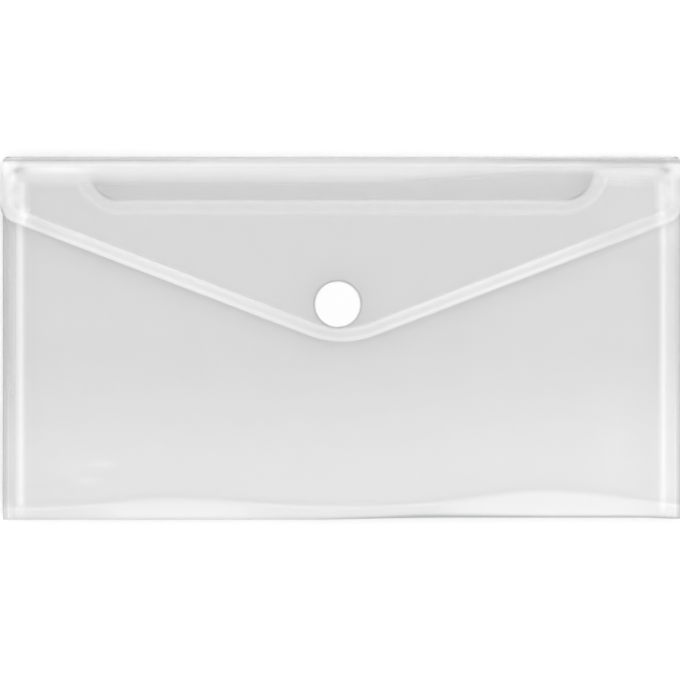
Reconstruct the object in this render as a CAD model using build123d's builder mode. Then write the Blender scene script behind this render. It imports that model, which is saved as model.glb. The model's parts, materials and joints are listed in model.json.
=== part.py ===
"""Document wallet for DL papers: clear polypropylene sheet, side gussets, pointed flap, hook-and-loop dot.

The wallet lies on its back panel. X runs along its width, Y from the bottom fold to the top fold,
Z from the back panel up to the flap. The sheet bends only at its creases, so every stretch of sheet
between two creases is a piece of its own, and neighbours stand a crease gap apart.
"""

import os
from math import asin, atan2, cos, degrees, hypot, radians, sin, tan

from build123d import *

# Sheet, in millimetres like every length here
sheet = 0.3
crease_gap = 0.25
fold_gap = 0.45

# Pocket
pocket_width = 250.0
wallet_height = 134.0
pocket_depth = 5.0
bottom_fold_length = 6.5
mouth_setback = 4.6
ear_radius = 3.0

# Finger cut-out along the mouth
cutout_depth = 11.1
cutout_bottom_width = 177.2
cutout_side_run = 5.7
cutout_radius = 7.0

# Raised border along the flap's free edges and along the cut-out
border_width = 4.9
border_height = 0.12

# Side gussets
flange_width = 2.0
gusset_reach = 6.5
gusset_end_gap = 0.3

# Flap
closure_gap = 2.4
hinge_creases = 3
flap_length = 68.3
flap_straight_side = 22.35
flap_overhang = 1.0
shoulder_radius = 8.0
tip_radius = 34.0
root_radius = 3.0

# Hook-and-loop dot
dot_diameter = 16.8
dot_from_tip = 13.8
dot_offset = -1.5
adhesive_thickness = 0.15
backing_thickness = 0.4
pile_inset = 0.3
pile_rounding = 0.25
dot_gap = 0.08

# Moulded hooks, with their outline in shares of hook length and height
hook_pitch = 1.4
hook_height = 0.5
hook_length = 0.56
hook_thickness = 0.45
hook_rim = 0.6
hook_shares = (
    (0.32, 0),
    (-0.32, 0),
    (-0.16, 0.6),
    (0.02, 0.94),
    (0.3, 1.0),
    (0.5, 0.72),
    (0.5, 0.42),
    (0.3, 0.64),
    (0.1, 0.46),
)

# Levels of the sheets, worked out upward from the table
half_sheet = sheet / 2
front_underside = sheet + pocket_depth
front_top = front_underside + sheet
flap_underside = front_top + closure_gap
flap_top = flap_underside + sheet

# Top fold: half a ring of flat strips from back panel to flap, each crease turned by the same bend
hinge_bend = 180 / hinge_creases
fold_radius = flap_underside / 2
strip_pitch = 2 * fold_radius * tan(radians(hinge_bend / 2))
half_strip = (strip_pitch - crease_gap) / 2
strip_tilts = [number * hinge_bend for number in range(1, hinge_creases)]
fold_reach = max(
    (fold_radius + half_sheet) * sin(radians(tilt)) + half_strip * abs(cos(radians(tilt)))
    for tilt in strip_tilts
)
top_edge = wallet_height / 2
fold_centre_y = top_edge - fold_reach
fold_centre_z = half_sheet + fold_radius
top_crease_y = fold_centre_y + strip_pitch / 2
mouth_y = top_edge - mouth_setback

# Bottom fold: two strips that meet half way between back and front
bottom_rise = (front_top - sheet - fold_gap) / 2
bottom_tilt = degrees(asin(bottom_rise / bottom_fold_length))
bottom_run = bottom_fold_length * cos(radians(bottom_tilt))
bottom_crease_y = bottom_run + half_sheet * sin(radians(bottom_tilt)) - wallet_height / 2

# Side gussets: two halves, on welded flanges, that meet half way between the flanges
rear_flange_z = sheet + half_sheet
front_flange_z = front_underside - half_sheet
gusset_run = gusset_reach - flange_width
gusset_rise = (front_flange_z - rear_flange_z - fold_gap) / 2
gusset_tilt = degrees(atan2(gusset_rise, gusset_run))
gusset_half = hypot(gusset_run, gusset_rise)
gusset_low_y = bottom_crease_y + gusset_end_gap
gusset_high_y = mouth_y - gusset_end_gap

# Flap and its dot
flap_half_width = pocket_width / 2 + flap_overhang
flap_tip_y = top_edge - flap_length
shoulder_y = top_edge - flap_straight_side
tip_centre_drop = flap_length - flap_straight_side - tip_radius
tip_centre_reach = hypot(flap_half_width, tip_centre_drop)
flap_slope = atan2(tip_centre_drop, flap_half_width) + asin(tip_radius / tip_centre_reach)
flap_point_y = shoulder_y - flap_half_width * tan(flap_slope)
dot_y = flap_tip_y + dot_from_tip
pile_height = closure_gap - 2 * (adhesive_thickness + backing_thickness) - hook_height - dot_gap


def finish(piece, name):
    """Labels a finished piece and writes it under its own name."""
    piece.part.label = name
    export_step(piece.part, f"parts/{name}.step")


def strip(name, plane, width, start, tilt, near, far):
    """A flat strip of sheet, extruded from its section on a plane.

    The section runs along tilt, from near to far along a line through the point start."""
    reach = (near + far) / 2
    middle = (start[0] + reach * cos(radians(tilt)), start[1] + reach * sin(radians(tilt)))
    with BuildPart() as piece:
        with BuildSketch(plane):
            with Locations(middle):
                Rectangle(far - near, sheet, rotation=tilt)
        extrude(amount=width / 2, both=True)
    finish(piece, name)


def back_panel():
    """The back of the pocket, from the bottom crease to the first crease of the top fold."""
    low = bottom_crease_y + crease_gap / 2
    high = top_crease_y - crease_gap / 2
    with BuildPart() as panel:
        with BuildSketch():
            with Locations((0, low)):
                Rectangle(pocket_width, high - low, align=(Align.CENTER, Align.MIN))
        extrude(amount=sheet)
    finish(panel, "back_panel")


def top_fold():
    """The narrow strips that carry the flap round from the back panel."""
    for number, tilt in enumerate(strip_tilts, start=1):
        middle = (
            fold_centre_y + fold_radius * sin(radians(tilt)),
            fold_centre_z - fold_radius * cos(radians(tilt)),
        )
        strip(f"hinge_strip_{number}", Plane.YZ, pocket_width, middle, tilt, -half_strip, half_strip)


def bottom_fold():
    """The two strips that close the pocket below and meet in a V that points away from it."""
    for name, level, tilt in (
        ("bottom_fold_rear", half_sheet, 180 - bottom_tilt),
        ("bottom_fold_front", front_top - half_sheet, 180 + bottom_tilt),
    ):
        start = (bottom_crease_y, level)
        strip(name, Plane.YZ, pocket_width, start, tilt, crease_gap / 2, bottom_fold_length)


def gussets():
    """The side gussets: welded flanges, and the two halves of the V that points into the pocket."""
    length = gusset_high_y - gusset_low_y
    plane = Plane.XZ.offset(-(gusset_low_y + gusset_high_y) / 2)
    for side, inward in (("left", 1), ("right", -1)):
        edge = -inward * pocket_width / 2
        crease = edge + inward * flange_width
        for face, level, lean in (("rear", rear_flange_z, 1), ("front", front_flange_z, -1)):
            tilt = lean * gusset_tilt if inward > 0 else 180 - lean * gusset_tilt
            start = (crease, level)
            strip(f"{side}_{face}_flange", plane, length, (edge, level), 0, 0, inward * flange_width)
            strip(f"{side}_gusset_{face}", plane, length, start, tilt, crease_gap / 2, gusset_half)


def cutout_outline(top_y):
    """The finger cut-out as a face that runs up to top_y, with its sides leaning outward."""
    floor_y = mouth_y - cutout_depth
    half_floor = cutout_bottom_width / 2
    half_top = half_floor + cutout_side_run * (top_y - floor_y) / cutout_depth
    with BuildSketch() as cutout:
        with BuildLine():
            Polyline(
                (-half_top, top_y),
                (-half_floor, floor_y),
                (half_floor, floor_y),
                (half_top, top_y),
                close=True,
            )
        make_face()
        fillet(cutout.vertices().group_by(Axis.Y)[0], cutout_radius)
    return cutout.sketch


def front_panel():
    """The front of the pocket, with the finger cut-out and its raised border."""
    low = bottom_crease_y + crease_gap / 2
    height = mouth_y - low
    from_low = (Align.CENTER, Align.MIN)
    cutout = cutout_outline(mouth_y + border_width)
    with BuildPart() as panel:
        with BuildSketch(Plane.XY.offset(front_underside)) as outline:
            with Locations((0, low)):
                Rectangle(pocket_width, height, align=from_low)
            fillet(outline.vertices().group_by(Axis.Y)[-1], ear_radius)
            add(cutout, mode=Mode.SUBTRACT)
        extrude(amount=sheet)
        with BuildSketch(Plane.XY.offset(front_top)):
            add(cutout)
            offset(amount=border_width)
            add(cutout, mode=Mode.SUBTRACT)
            with Locations((0, low)):
                Rectangle(pocket_width, height, align=from_low, mode=Mode.INTERSECT)
        extrude(amount=border_height)
    finish(panel, "front_panel")


def flap_outline(root_y):
    """The flap as a face from root_y down to its rounded tip."""
    with BuildSketch() as outline:
        with BuildLine():
            Polyline(
                (-flap_half_width, root_y),
                (-flap_half_width, shoulder_y),
                (0, flap_point_y),
                (flap_half_width, shoulder_y),
                (flap_half_width, root_y),
                close=True,
            )
        make_face()
        fillet(outline.vertices().group_by(Axis.Y)[1], shoulder_radius)
        fillet(outline.vertices().group_by(Axis.Y)[0], tip_radius)
    return outline.sketch


def flap_panel():
    """The flap, with a raised border along its free edges."""
    root_y = top_crease_y - crease_gap / 2
    with BuildPart() as flap:
        with BuildSketch(Plane.XY.offset(flap_underside)) as outline:
            add(flap_outline(root_y))
            fillet(outline.vertices().group_by(Axis.Y)[-1], root_radius)
        extrude(amount=sheet)
        with BuildSketch(Plane.XY.offset(flap_top)):
            add(flap_outline(root_y + border_width))
            offset(amount=-border_width, mode=Mode.SUBTRACT)
            with Locations((0, root_y - root_radius)):
                below_root = (Align.CENTER, Align.MAX)
                Rectangle(2 * flap_half_width, flap_length, align=below_root, mode=Mode.INTERSECT)
        extrude(amount=border_height)
    finish(flap, "flap_panel")


def dot_disc(level, thickness, diameter):
    """One flat round layer of the dot."""
    with BuildPart() as disc:
        with BuildSketch(Plane.XY.offset(level)):
            with Locations((dot_offset, dot_y)):
                Circle(diameter / 2)
        extrude(amount=thickness)
    return disc


def hook():
    """One moulded hook that stands on the XY plane, with its beak bent over towards +X."""
    with BuildPart() as solid:
        with BuildSketch(Plane.XZ):
            with BuildLine():
                Polyline(*[(x * hook_length, z * hook_height) for x, z in hook_shares], close=True)
            make_face()
        extrude(amount=hook_thickness / 2, both=True)
    return solid.part


def hook_tape():
    """The hook half of the dot: a backing with rows of hooks below it, every other row facing back."""
    level = flap_underside - adhesive_thickness - backing_thickness
    face_down = Plane((dot_offset, dot_y, level), x_dir=(1, 0, 0), z_dir=(0, 0, -1))
    reach = dot_diameter / 2 - hook_rim
    rows = int(reach / hook_pitch)
    places = []
    for row in range(-rows, rows + 1):
        for column in range(-rows, rows + 1):
            x = column * hook_pitch
            y = row * hook_pitch
            if hypot(x, y) + hook_length / 2 < reach:
                places.append(face_down.location * Location((x, y, 0), (0, 0, 180 * (row % 2))))
    one_hook = hook()
    tape = dot_disc(level, backing_thickness, dot_diameter)
    with tape:
        with Locations(*places):
            add(one_hook)
    finish(tape, "hook_tape")


def loop_pile():
    """The loop half's soft pile, rounded over at its rim."""
    level = front_top + adhesive_thickness + backing_thickness
    pile = dot_disc(level, pile_height, dot_diameter - 2 * pile_inset)
    with pile:
        fillet(pile.faces().sort_by(Axis.Z)[-1].edges(), pile_rounding)
    finish(pile, "loop_pile")


os.makedirs("parts", exist_ok=True)
back_panel()
top_fold()
bottom_fold()
gussets()
front_panel()
flap_panel()
finish(dot_disc(flap_underside - adhesive_thickness, adhesive_thickness, dot_diameter), "hook_adhesive")
hook_tape()
finish(dot_disc(front_top, adhesive_thickness, dot_diameter), "loop_adhesive")
finish(dot_disc(front_top + adhesive_thickness, backing_thickness, dot_diameter), "loop_backing")
loop_pile()
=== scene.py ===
"""Clear document wallet with side gussets, a finger cut-out, a pointed flap and a hook-and-loop dot.

The sheets are cut as flat blanks, the way the real ones are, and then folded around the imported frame.
Inside the functions sizes are in millimetres. Settings and finished meshes are in metres.
"""

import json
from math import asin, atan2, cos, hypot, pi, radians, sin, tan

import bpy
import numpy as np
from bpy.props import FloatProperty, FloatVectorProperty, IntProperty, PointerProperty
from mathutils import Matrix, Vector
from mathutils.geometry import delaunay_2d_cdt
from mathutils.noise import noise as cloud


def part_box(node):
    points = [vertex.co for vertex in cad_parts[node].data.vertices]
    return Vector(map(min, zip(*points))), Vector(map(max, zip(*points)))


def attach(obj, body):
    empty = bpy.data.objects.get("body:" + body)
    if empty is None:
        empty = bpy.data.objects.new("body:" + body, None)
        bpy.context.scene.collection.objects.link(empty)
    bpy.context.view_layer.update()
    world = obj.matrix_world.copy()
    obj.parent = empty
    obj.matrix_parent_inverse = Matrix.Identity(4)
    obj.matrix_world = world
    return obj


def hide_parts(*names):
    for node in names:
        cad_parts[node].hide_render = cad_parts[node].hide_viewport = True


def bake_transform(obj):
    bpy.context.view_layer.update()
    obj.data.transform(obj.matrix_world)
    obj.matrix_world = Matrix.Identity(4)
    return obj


bl_info = {
    "name": "Clear document wallet",
    "version": (1, 0, 0),
    "blender": (4, 5, 0),
    "location": "View3D > Sidebar > Wallet",
    "description": "Builds a clear folded wallet with gussets, a pointed flap and a hook-and-loop dot",
    "category": "Add Mesh",
}

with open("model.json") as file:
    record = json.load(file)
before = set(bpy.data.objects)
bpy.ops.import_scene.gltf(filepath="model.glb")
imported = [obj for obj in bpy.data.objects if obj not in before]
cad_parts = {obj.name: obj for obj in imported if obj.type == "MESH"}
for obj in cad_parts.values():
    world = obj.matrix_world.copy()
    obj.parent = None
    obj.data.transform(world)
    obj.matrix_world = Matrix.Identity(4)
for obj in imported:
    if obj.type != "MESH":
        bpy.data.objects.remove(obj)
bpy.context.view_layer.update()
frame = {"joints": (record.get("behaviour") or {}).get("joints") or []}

MM = 0.001


def corners(node):
    """Lowest and highest corner of a node of the frame, in millimetres."""
    low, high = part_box(node)
    return np.array(low) / MM, np.array(high) / MM


# Places that the frame gives
BACK_LOW, BACK_HIGH = corners("back_panel")
FRONT_LOW, FRONT_HIGH = corners("front_panel")
FLAP_LOW, FLAP_HIGH = corners("flap_panel")
FLANGE_LOW, FLANGE_HIGH = corners("left_front_flange")
GUSSET_LOW, GUSSET_HIGH = corners("left_gusset_front")
CREASES = {joint["name"]: np.array(joint["pos_m"]) / MM for joint in frame["joints"] if "pos_m" in joint}
SHEET = BACK_HIGH[2] - BACK_LOW[2]
HALF_WIDTH = BACK_HIGH[0]
FLAP_HALF_WIDTH = FLAP_HIGH[0]
TIP_Y = FLAP_LOW[1]
MOUTH_Y = FRONT_HIGH[1]
TOP_Y = corners("hinge_strip_1")[1][1]
BOTTOM_Y = corners("bottom_fold_front")[0][1]
GUSSET_TOP_Y = GUSSET_HIGH[1]
BACK_Z = BACK_LOW[2] + SHEET / 2
FRONT_Z = FRONT_LOW[2] + SHEET / 2
FLAP_Z = FLAP_LOW[2] + SHEET / 2
MIDDLE_Z = (BACK_Z + FRONT_Z) / 2

# What a film is thinner than its node, so that films that lie on each other stay apart
FILM_CLEARANCE = 0.03

# The rounded top fold, as half an ellipse from the back to the flap
FOLD_BEND = radians(frame["joints"][0]["range_deg"][1])
FOLD_RADIUS = (FLAP_Z - BACK_Z) / 2
FOLD_Z = (FLAP_Z + BACK_Z) / 2
FOLD_Y = CREASES["flap_fold_1"][1] - FOLD_RADIUS * tan(FOLD_BEND / 2)
FOLD_OUT = TOP_Y - SHEET / 2 - FOLD_Y
FOLD_MEAN = (FOLD_RADIUS + FOLD_OUT) / 2
FOLD_CORNER = 2.6

# The two seams in the fold, which part back, top fold and flap, and the blanks' rows that end there
SEAM_GAP = 0.02
SEAM_ROW = FOLD_Y + FOLD_MEAN * FOLD_BEND
EDGE_ROW = SEAM_ROW - SEAM_GAP


def length(label, about, size):
    """A size that a user may change, given in millimetres and kept in metres."""
    return FloatProperty(
        name=label, description=about, default=size * MM, min=0, precision=5, unit="LENGTH"
    )


def amount(label, about, value):
    """A plain number that a user may change."""
    return FloatProperty(name=label, description=about, default=value, precision=3)


def colour(label, about, value):
    """A colour that a user may change."""
    return FloatVectorProperty(
        name=label, description=about, default=value, size=3, min=0, max=1, subtype="COLOR"
    )


class WalletShape(bpy.types.PropertyGroup):
    """Sizes of the cut and folded sheets"""
    border_width: length("Border width", "Width of the raised border along the flap", 4.9)
    cutout_border: length("Cut-out border", "Width of the raised border along the finger cut-out", 5.8)
    border_height: length("Border height", "How far the border stands up", 0.12)
    shoulder_drop: length("Shoulder drop", "From the top edge to the flap's shoulder", 22.35)
    shoulder_radius: length("Shoulder radius", "Rounding of the flap's shoulders", 8)
    tip_radius: length("Tip radius", "Rounding of the flap's tip", 34)
    cutout_depth: length("Cut-out depth", "Depth of the finger cut-out", 11.1)
    cutout_width: length("Cut-out width", "Width of the cut-out's floor, corner to corner", 183.6)
    cutout_run: length("Cut-out run", "How far each side of the cut-out leans", 1)
    cutout_radius: length("Cut-out radius", "Rounding of the cut-out's lower corners", 11.5)
    ear_radius: length("Ear radius", "Rounding of the front panel's upper corners", 3)
    weld_inset: length("Weld inset", "From the side edges to the weld line", 2.1)


class WalletClosure(bpy.types.PropertyGroup):
    """Sizes of the hook-and-loop dot"""
    hook_pitch: length("Hook pitch", "Distance from hook to hook", 1.4)
    hook_length: length("Hook length", "Reach of a hook along the tape", 0.56)
    hook_thickness: length("Hook thickness", "Thickness of a hook's stem", 0.3)
    loop_spacing: length("Loop spacing", "Least distance between two loops of the pile", 0.42)
    loop_width: length("Loop width", "Width of one loop", 0.5)
    loop_yarn: length("Loop yarn", "Radius of the yarn of one loop", 0.045)
    edge_rounding: length("Edge rounding", "Rounding of the tapes' edges", 0.12)
    seed: IntProperty(name="Seed", description="Order of the loops of the pile", default=7)


class WalletFinish(bpy.types.PropertyGroup):
    """Colours and gloss"""
    film_tint: colour("Film tint", "What the clear sheet lets through", (0.985, 0.985, 0.985))
    # Back sheet and gussets: a darker tint, painted shade for the shadow under the wallet
    back_shade_tint: colour("Back tint", "What the back sheet lets through", (0.875, 0.875, 0.875))
    film_haze: colour("Film haze", "White that the clear sheet scatters", (0.99, 0.99, 0.99))
    film_solidity: amount("Film solidity", "Share of light that each face of a sheet scatters", 0.36)
    back_solidity: amount("Back solidity", "Share of light that each face of the back sheet scatters", 0.20)
    film_roughness: amount("Film roughness", "Roughness of the sheet's shine", 0.16)
    # Grey of the cut edges, which also greys the film where painted shade lies
    edge_and_shade_grey: colour("Edge grey", "Cut edges of the clear sheet", (0.36, 0.37, 0.37))
    dot_white: colour("Dot white", "The dot's adhesive and tapes", (1, 1, 1))


class WalletStage(bpy.types.PropertyGroup):
    """Floor, lamps and camera"""
    floor_white: colour("Floor white", "Colour of the floor", (0.95, 0.95, 0.95))
    floor_glow: amount("Floor glow", "Lift that makes the seen floor white", 0.12)
    far_glow: amount("Far glow", "The same lift far from the wallet, where the softboxes don't reach", 0.4)
    floor_drop: length("Floor drop", "Gap that the opened flap's border needs", 0.3)
    floor_size: length("Floor size", "Side of the floor", 6000)
    sky_top: amount("Sky top", "Level of the light from straight above", 0.45)
    sky_side: amount("Sky side", "Level of the light from the horizon", 0.9)
    camera_height: length("Camera height", "Camera above the floor", 1600)
    camera_shift: length("Camera shift", "How far the camera stands left of and below the middle", 0.645)
    lens: amount("Lens", "Focal length of the camera in millimetres", 229)


# Shapes of lines and values

def ease(value, start, end):
    """Rises smoothly from 0 at start to 1 at end."""
    share = np.clip((value - start) / (end - start), 0, 1)
    return share * share * (3 - 2 * share)


def fade(value, start, end):
    """Falls smoothly from 1 at start to 0 at end."""
    return 1 - ease(value, start, end)


def ridge(value, place, width):
    """A soft ridge of height 1 at a place."""
    return np.exp(-(((value - place) / width) ** 2))


def span(value, start, full, last, end):
    """Rises smoothly from 0 at start to 1 at full, and falls from 1 at last to 0 at end."""
    return ease(value, start, full) * fade(value, last, end)


def even(value):
    """1 everywhere."""
    return 1


def strokes(table, x, y):
    """Soft strokes added up. Each row has a strength and may have a profile across and one along."""
    total = 0
    for strength, *profiles in table.values():
        for place, (profile, *limits) in zip((x, y), profiles):
            strength = strength * profile(place, *limits)
        total = total + strength
    return total


def by_side(x, left, right):
    """One value on the left half of the wallet and another on the right."""
    return np.where(x > 0, right, left)


def spread(low, high, step):
    """Evenly spaced values, both ends included."""
    return np.linspace(low, high, max(2, int(round(abs(high - low) / step)) + 1))


def arc(centre, radius, start, end, count):
    """Points on a round stretch, from one angle to another in radians."""
    turn = np.linspace(start, end, count)
    return np.stack([centre[0] + radius * np.cos(turn), centre[1] + radius * np.sin(turn)], axis=1)


def straight(start, end, step):
    """Points on a straight stretch, without its ends."""
    way = np.array(end) - np.array(start)
    reach = hypot(*way)
    return np.array(start) + way * spread(0, reach, step)[1:-1, None] / reach


def flipped(line):
    """A line's mirror image on the other side, run through backwards."""
    return (line * (-1, 1))[::-1]


def edge_distance(points, line):
    """Shortest distance from each point to a line of points."""
    start = line[:-1]
    way = np.diff(line, axis=0)
    offset = points[:, None] - start
    share = np.clip((offset * way).sum(2) / (way * way).sum(1), 0, 1)
    return np.linalg.norm(offset - share[..., None] * way, axis=2).min(1)


def inside(points, outline):
    """True for each point within a closed outline."""
    ahead = np.roll(outline, -1, axis=0)
    x, y = points[:, :1], points[:, 1:]
    crosses = (outline[:, 1] > y) != (ahead[:, 1] > y)
    rise = np.where(ahead[:, 1] == outline[:, 1], 1, ahead[:, 1] - outline[:, 1])
    meets = outline[:, 0] + (y - outline[:, 1]) * (ahead[:, 0] - outline[:, 0]) / rise
    return (crosses & (x < meets)).sum(1) % 2 == 1


def lattice(columns, rows):
    """A plain grid of points and the faces between them."""
    across, along = np.meshgrid(columns, rows)
    index = np.arange(across.size).reshape(across.shape)
    faces = np.stack([index[:-1, :-1], index[:-1, 1:], index[1:, 1:], index[1:, :-1]], axis=-1)
    return np.stack([across.ravel(), along.ravel()], axis=1), faces.reshape(-1, 4).tolist()


def cut_blank(outline, lines, dots):
    """Triangles that fill a flat outline, with the lines kept as edges and the dots as corners."""
    points = [Vector(point) for point in outline]
    edges = [(i, (i + 1) % len(outline)) for i in range(len(outline))]
    for line in lines:
        edges += [(len(points) + i, len(points) + i + 1) for i in range(len(line) - 1)]
        points += [Vector(point) for point in line]
    points += [Vector(point) for point in dots]
    flat, _, faces, *_ = delaunay_2d_cdt(points, edges, [], 1, 1e-4)
    return np.array(flat), faces


# Pieces

def settle(piece):
    """Turns a piece's modifiers into plain mesh."""
    graph = bpy.context.evaluated_depsgraph_get()
    made = bpy.data.meshes.new_from_object(
        piece.evaluated_get(graph), preserve_all_data_layers=True, depsgraph=graph
    )
    piece.modifiers.clear()
    old = piece.data
    piece.data = made
    bpy.data.meshes.remove(old)
    made.name = piece.name
    made.polygons.foreach_set("use_smooth", [True] * len(made.polygons))
    made.update()


def mesh_piece(name, places, faces, *materials):
    """A new object from points in millimetres."""
    mesh = bpy.data.meshes.new(name)
    mesh.from_pydata((places * MM).tolist(), [], faces)
    for material in materials:
        mesh.materials.append(material)
    piece = bpy.data.objects.new(name, mesh)
    bpy.context.scene.collection.objects.link(piece)
    return piece


def film_piece(name, places, faces, haze_and_highlight, shade, seam=0, film="clear_film"):
    """A sheet of film, its middle surface thickened, with haze, painted highlight and painted shade per
    point.

    Where seam is 1 the sheet goes on in the next piece, so that its end isn't a cut edge.
    """
    finish = bpy.context.scene.wallet_finish
    look = (finish.film_tint, finish.film_solidity)
    # The back film's darker tint is painted shade under the wallet
    if film == "shaded_back_film":
        look = (finish.back_shade_tint, finish.back_solidity)
    piece = mesh_piece(name, places, faces, clear_film(film, *look, finish), cut_edge(finish))
    for label, values in (("haze_and_highlight", haze_and_highlight), ("shade", shade), ("seam", seam)):
        kept = np.clip(np.broadcast_to(values, len(places)), -1, 1).astype(np.float32)
        piece.data.attributes.new(label, "FLOAT", "POINT").data.foreach_set("value", kept)
    wall = piece.modifiers.new("Thickness", "SOLIDIFY")
    wall.thickness = (SHEET - FILM_CLEARANCE) * MM
    wall.offset = 0
    wall.material_offset_rim = 1
    settle(piece)
    joined = np.zeros(len(piece.data.vertices), np.float32)
    piece.data.attributes["seam"].data.foreach_get("value", joined)
    for face in piece.data.polygons:
        if face.material_index and all(joined[v] > 0.5 for v in face.vertices):
            face.material_index = 0
    piece.data.attributes.remove(piece.data.attributes["seam"])
    return piece


# Materials

def add(tree, kind, inputs=None, **settings):
    """Adds a node, sets it up and feeds its inputs with values or with other nodes' outputs."""
    made = tree.nodes.new(kind)
    for name, value in settings.items():
        setattr(made, name, value)
    for name, value in (inputs or {}).items():
        if isinstance(value, bpy.types.NodeSocket):
            tree.links.new(value, made.inputs[name])
        else:
            made.inputs[name].default_value = value
    return made


def maths(tree, operation, *values, clamp=False):
    """One sum of values or sockets."""
    made = add(tree, "ShaderNodeMath", dict(enumerate(values)), operation=operation, use_clamp=clamp)
    return made.outputs[0]


def mix_colour(tree, share, first, second):
    """A colour between two others."""
    made = add(tree, "ShaderNodeMix", {0: share, 6: first, 7: second}, data_type="RGBA")
    return made.outputs[2]


def mix_shader(tree, share, first, second):
    """A surface between two others."""
    return add(tree, "ShaderNodeMixShader", {0: share, 1: first, 2: second}).outputs[0]


def opaque(values, level=1):
    """A colour at a level of its own brightness, with its alpha."""
    return (*(value * level for value in values), 1)


def new_material(name):
    """An empty material, its node tree and the place on the piece."""
    material = bpy.data.materials.new(name)
    material.use_nodes = True
    tree = material.node_tree
    tree.nodes.clear()
    return material, tree, add(tree, "ShaderNodeTexCoord").outputs["Object"]


def surface(tree, shader):
    """Sends a shader to the material's surface."""
    add(tree, "ShaderNodeOutputMaterial", {"Surface": shader})


def noise(tree, place, scale, detail):
    """Soft noise at a scale counted per metre."""
    made = add(tree, "ShaderNodeTexNoise", {"Vector": place, "Scale": scale, "Detail": detail})
    return made.outputs["Fac"]


def relief(tree, height, strength, depth):
    """Normals of a surface that a height between 0 and 1 raises by up to a depth."""
    made = add(tree, "ShaderNodeBump", {"Height": height, "Strength": strength, "Distance": depth * MM})
    return made.outputs["Normal"]


def attribute(tree, name):
    """A value kept per point of the piece."""
    return add(tree, "ShaderNodeAttribute", attribute_name=name).outputs["Fac"]


# How much haze with painted highlight, and painted shade, add to the film's solidity, and haze to its gloss
HAZE_AND_HIGHLIGHT_SOLIDITY = 0.75
SHADE_SOLIDITY = 0.45
HAZE_AND_HIGHLIGHT_GLOSS = 0.5

# How uneven its solidity and its roughness are, and the share of scattered light that goes through it
CLOUDINESS = 0.03
ROUGHNESS_RANGE = 0.08
THROUGH_SHARE = 0.25

# Its gloss from straight above, and how much more it has at a grazing angle
GLOSS_LEAST = 0.04
GLOSS_RISE = 0.9


def clear_film(name, tint, solidity, finish):
    """Clear polypropylene: it lets the floor through, scatters some white and shines on both faces."""
    if name in bpy.data.materials:
        return bpy.data.materials[name]
    material, tree, place = new_material(name)
    # One attribute carries haze and painted highlight, the other painted shade, which also greys the white
    haze_and_highlight = attribute(tree, "haze_and_highlight")
    shade = attribute(tree, "shade")
    clouds = maths(tree, "MULTIPLY_ADD", noise(tree, place, 26, 3), CLOUDINESS, solidity - CLOUDINESS / 2)
    solid = maths(tree, "MULTIPLY_ADD", haze_and_highlight, HAZE_AND_HIGHLIGHT_SOLIDITY, clouds, clamp=True)
    solid = maths(tree, "MULTIPLY_ADD", shade, SHADE_SOLIDITY, solid, clamp=True)
    white = mix_colour(tree, shade, opaque(finish.film_haze), opaque(finish.edge_and_shade_grey))
    normal = relief(tree, noise(tree, place, 75, 2), 0.25, 0.2)
    back = add(tree, "ShaderNodeBsdfDiffuse", {"Color": white, "Normal": normal}).outputs[0]
    through = add(tree, "ShaderNodeBsdfTranslucent", {"Color": white, "Normal": normal}).outputs[0]
    scatter = mix_shader(tree, THROUGH_SHARE, back, through)
    clear = add(tree, "ShaderNodeBsdfTransparent", {"Color": opaque(tint)}).outputs[0]
    body = mix_shader(tree, solid, clear, scatter)
    smoothest = finish.film_roughness - ROUGHNESS_RANGE / 2
    rough = maths(tree, "MULTIPLY_ADD", noise(tree, place, 220, 2), ROUGHNESS_RANGE, smoothest)
    shine = add(tree, "ShaderNodeBsdfGlossy", {"Roughness": rough, "Normal": normal}).outputs[0]
    facing = add(tree, "ShaderNodeLayerWeight", {"Blend": 0.5, "Normal": normal}).outputs["Facing"]
    gloss = maths(tree, "MULTIPLY_ADD", maths(tree, "POWER", facing, 5), GLOSS_RISE, GLOSS_LEAST)
    dry = maths(tree, "MULTIPLY_ADD", haze_and_highlight, HAZE_AND_HIGHLIGHT_GLOSS, 1, clamp=True)
    surface(tree, mix_shader(tree, maths(tree, "MULTIPLY", gloss, dry), body, shine))
    return material


def cut_edge(finish):
    """The narrow cut faces of the clear sheet, painted denser and greyer than its flat faces as painted
    shade.
    """
    if "cut_edge" in bpy.data.materials:
        return bpy.data.materials["cut_edge"]
    material, tree, place = new_material("cut_edge")
    streaks = noise(tree, place, 900, 2)
    grey = mix_colour(tree, streaks, opaque(finish.edge_and_shade_grey), opaque(finish.film_haze))
    body = add(tree, "ShaderNodeBsdfPrincipled", {"Base Color": grey, "Roughness": 0.3}).outputs[0]
    clear = add(tree, "ShaderNodeBsdfTransparent", {"Color": opaque(finish.film_tint)}).outputs[0]
    dense = maths(tree, "MULTIPLY_ADD", streaks, 0.15, 0.4)
    surface(tree, mix_shader(tree, dense, clear, body))
    return material


# Surfaces of the dot: noise counted per metre, depth of the relief and roughness
DOT_SURFACES = {
    "hook_glue": (700, 0.03, 0.5),
    "hook_nylon": (1500, 0.02, 0.4),
    "loop_glue": (700, 0.03, 0.5),
    "loop_weave": (2200, 0.05, 0.8),
    "loop_yarn": (5000, 0.03, 0.9),
}


def white_tape(name, white):
    """A white surface of the dot with fine relief."""
    scale, depth, rough = DOT_SURFACES[name]
    material, tree, place = new_material(name)
    grain = noise(tree, place, scale, 3)
    body = add(tree, "ShaderNodeBsdfPrincipled", {
        "Base Color": mix_colour(tree, grain, opaque(white), opaque(white, 0.98)),
        "Roughness": rough,
        "Normal": relief(tree, grain, 0.5, depth),
        "Specular IOR Level": 0.3,
    })
    surface(tree, body.outputs[0])
    return material


# Sheets

# On a flat blank x runs across, and q runs along it: like y up to a fold, and then with the sheet

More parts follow.
